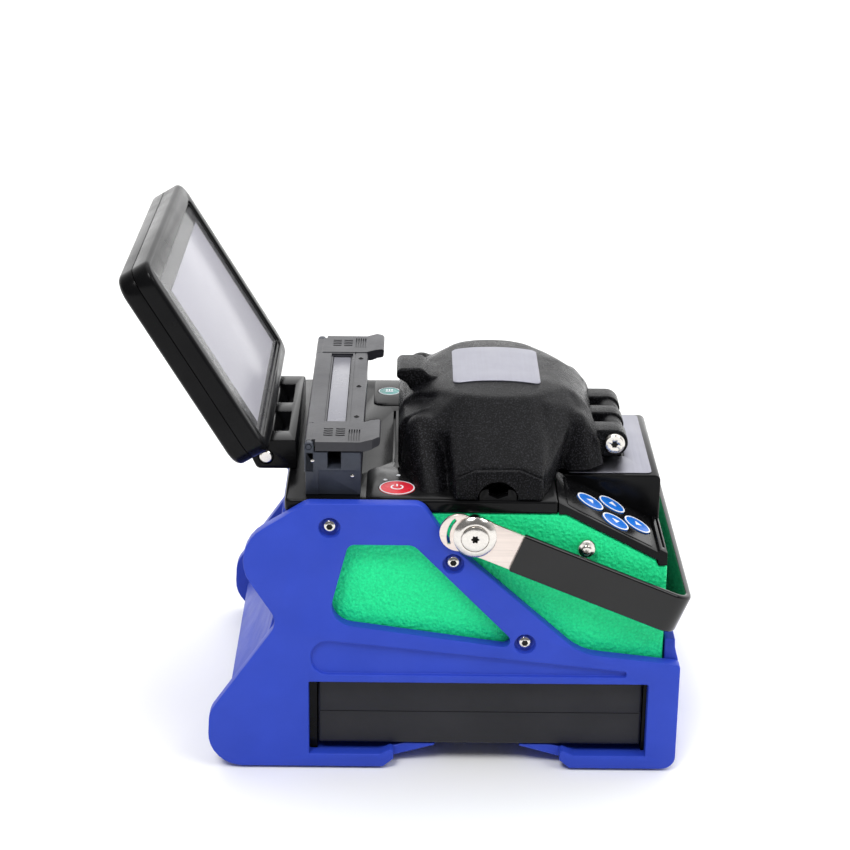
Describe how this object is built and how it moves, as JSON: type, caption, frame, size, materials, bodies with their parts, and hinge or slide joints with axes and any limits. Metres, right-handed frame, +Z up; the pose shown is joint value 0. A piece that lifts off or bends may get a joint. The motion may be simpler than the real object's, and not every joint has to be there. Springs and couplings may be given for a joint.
{
  "type": "fiber fusion splicer",
  "caption": "Handheld fiber fusion splicer in a protective boot, with tilting monitor, tube heater, hinged wind hood over the splicing stage, sloped arrow keypad and carrying handle.",
  "frame": {"origin": "centre of the bounding box in plan, at the underside of the rubber feet", "axes": "+X from the monitor towards the keypads, +Y from the side with the power button towards the far side, +Z up"},
  "size_m": [0.202, 0.1488, 0.1872],
  "materials": {
    "boot_blue": "satin moulded",
    "case_green": "leather-grained",
    "black_shell": "fine grain",
    "hood_black": "orange-peel gloss lacquer",
    "heater_grey": "dark anodised",
    "silver_plate": "satin",
    "window_clear": "polished",
    "nickel": "brushed nickel",
    "machined": "machined",
    "rubber_black": "matte",
    "sleeve_black": "gloss",
    "red_button": "gloss",
    "teal_button": "satin",
    "blue_key": "gloss",
    "screen_lit": "pale lit screen",
    "cover_glass": "polished",
    "circuit": "solder mask",
    "contact": "polished",
    "tungsten": "ground",
    "ceramic": "ground ceramic"
  },
  "bodies": {
    "machine": {"boot_side_near": "boot_blue", "boot_side_far": "boot_blue", "boot_rear_wall": "boot_blue", "boot_front_wall": "boot_blue", "boot_floor": "boot_blue", "rubber_foot_1": "rubber_black", "rubber_foot_2": "rubber_black", "rubber_foot_3": "rubber_black", "rubber_foot_4": "rubber_black", "case_side_near": "case_green", "case_side_far": "case_green", "case_front": "case_green", "case_rear": "black_shell", "battery_bay": "black_shell", "battery_terminals": "contact", "main_board": "circuit", "deck_plate": "black_shell", "keypad_wing_near": "black_shell", "keypad_wing_far": "black_shell", "front_box": "black_shell", "front_label_plate": "silver_plate", "monitor_bracket": "black_shell", "monitor_hinge_pin": "nickel", "heater_base": "heater_grey", "heater_trough": "machined", "heater_hinge_pin": "nickel", "splice_chassis": "machined", "v_groove_block": "ceramic", "electrode_rear": "tungsten", "electrode_front": "tungsten", "fiber_holder_near": "machined", "fiber_holder_far": "machined", "hood_bracket": "hood_black", "hood_hinge_pin": "nickel", "handle_pivot_near": "nickel", "handle_pivot_far": "nickel", "strap_stud_near": "nickel", "strap_stud_far": "nickel"},
    "battery": {"battery_pack": "black_shell"},
    "monitor": {"monitor_back": "black_shell", "monitor_bezel": "black_shell", "lcd_panel": "screen_lit", "screen_glass": "cover_glass"},
    "heater_cover": {"heater_lid": "heater_grey", "heater_lid_window": "window_clear", "heater_clamp_near": "heater_grey", "heater_clamp_far": "heater_grey"},
    "hood": {"wind_hood": "hood_black", "hood_label_plate": "silver_plate"},
    "handle": {"handle_strap": "nickel", "handle_sleeve": "sleeve_black"},
    "power_key": {"power_button": "red_button"},
    "heat_key": {"heat_button": "teal_button"},
    "key_rear": {"arrow_key_rear": "blue_key"},
    "key_far": {"arrow_key_far": "blue_key"},
    "key_near": {"arrow_key_near": "blue_key"},
    "key_front": {"arrow_key_front": "blue_key"},
    "clamp_lid_near": {"fiber_clamp_lid_near": "black_shell"},
    "clamp_lid_far": {"fiber_clamp_lid_far": "black_shell"}
  },
  "joints": [
    {"name": "handle_swing", "type": "hinge", "parent": "machine", "child": "handle", "pos_m": [0.02307, 0, 0.0943], "axis": [0, 1, 0], "range_deg": [-112.5, 0]},
    {"name": "monitor_tilt", "type": "hinge", "parent": "machine", "child": "monitor", "pos_m": [-0.05203, 0, 0.1091], "axis": [0, 1, 0], "range_deg": [-59, 30]},
    {"name": "hood_swing", "type": "hinge", "parent": "machine", "child": "hood", "pos_m": [0.07507, 0, 0.111], "axis": [0, 1, 0], "range_deg": [0, 95]},
    {"name": "heater_cover_swing", "type": "hinge", "parent": "machine", "child": "heater_cover", "pos_m": [-0.03553, 0, 0.1224], "axis": [0, 1, 0], "range_deg": [-90, 0]},
    {"name": "clamp_lid_near_swing", "type": "hinge", "parent": "machine", "child": "clamp_lid_near", "pos_m": [0.03947, 0, 0.1082], "axis": [0, 1, 0], "range_deg": [0, 80]},
    {"name": "clamp_lid_far_swing", "type": "hinge", "parent": "machine", "child": "clamp_lid_far", "pos_m": [0.03947, 0, 0.1082], "axis": [0, 1, 0], "range_deg": [0, 80]},
    {"name": "battery_slide", "type": "slide", "parent": "machine", "child": "battery", "axis": [0, -1, 0], "range_m": [0, 0.12]},
    {"name": "power_press", "type": "slide", "parent": "machine", "child": "power_key", "axis": [0, 0, -1], "range_m": [0, 0.0004], "stiffness_N_per_m": 400},
    {"name": "heat_press", "type": "slide", "parent": "machine", "child": "heat_key", "axis": [0, 0, -1], "range_m": [0, 0.0004], "stiffness_N_per_m": 400},
    {"name": "key_rear_press", "type": "slide", "parent": "machine", "child": "key_rear", "axis": [-0.4616, 0, -0.8871], "range_m": [0, 0.0005], "stiffness_N_per_m": 400},
    {"name": "key_far_press", "type": "slide", "parent": "machine", "child": "key_far", "axis": [-0.4616, 0, -0.8871], "range_m": [0, 0.0005], "stiffness_N_per_m": 400},
    {"name": "key_near_press", "type": "slide", "parent": "machine", "child": "key_near", "axis": [-0.4616, 0, -0.8871], "range_m": [0, 0.0005], "stiffness_N_per_m": 400},
    {"name": "key_front_press", "type": "slide", "parent": "machine", "child": "key_front", "axis": [-0.4616, 0, -0.8871], "range_m": [0, 0.0005], "stiffness_N_per_m": 400}
  ]
}
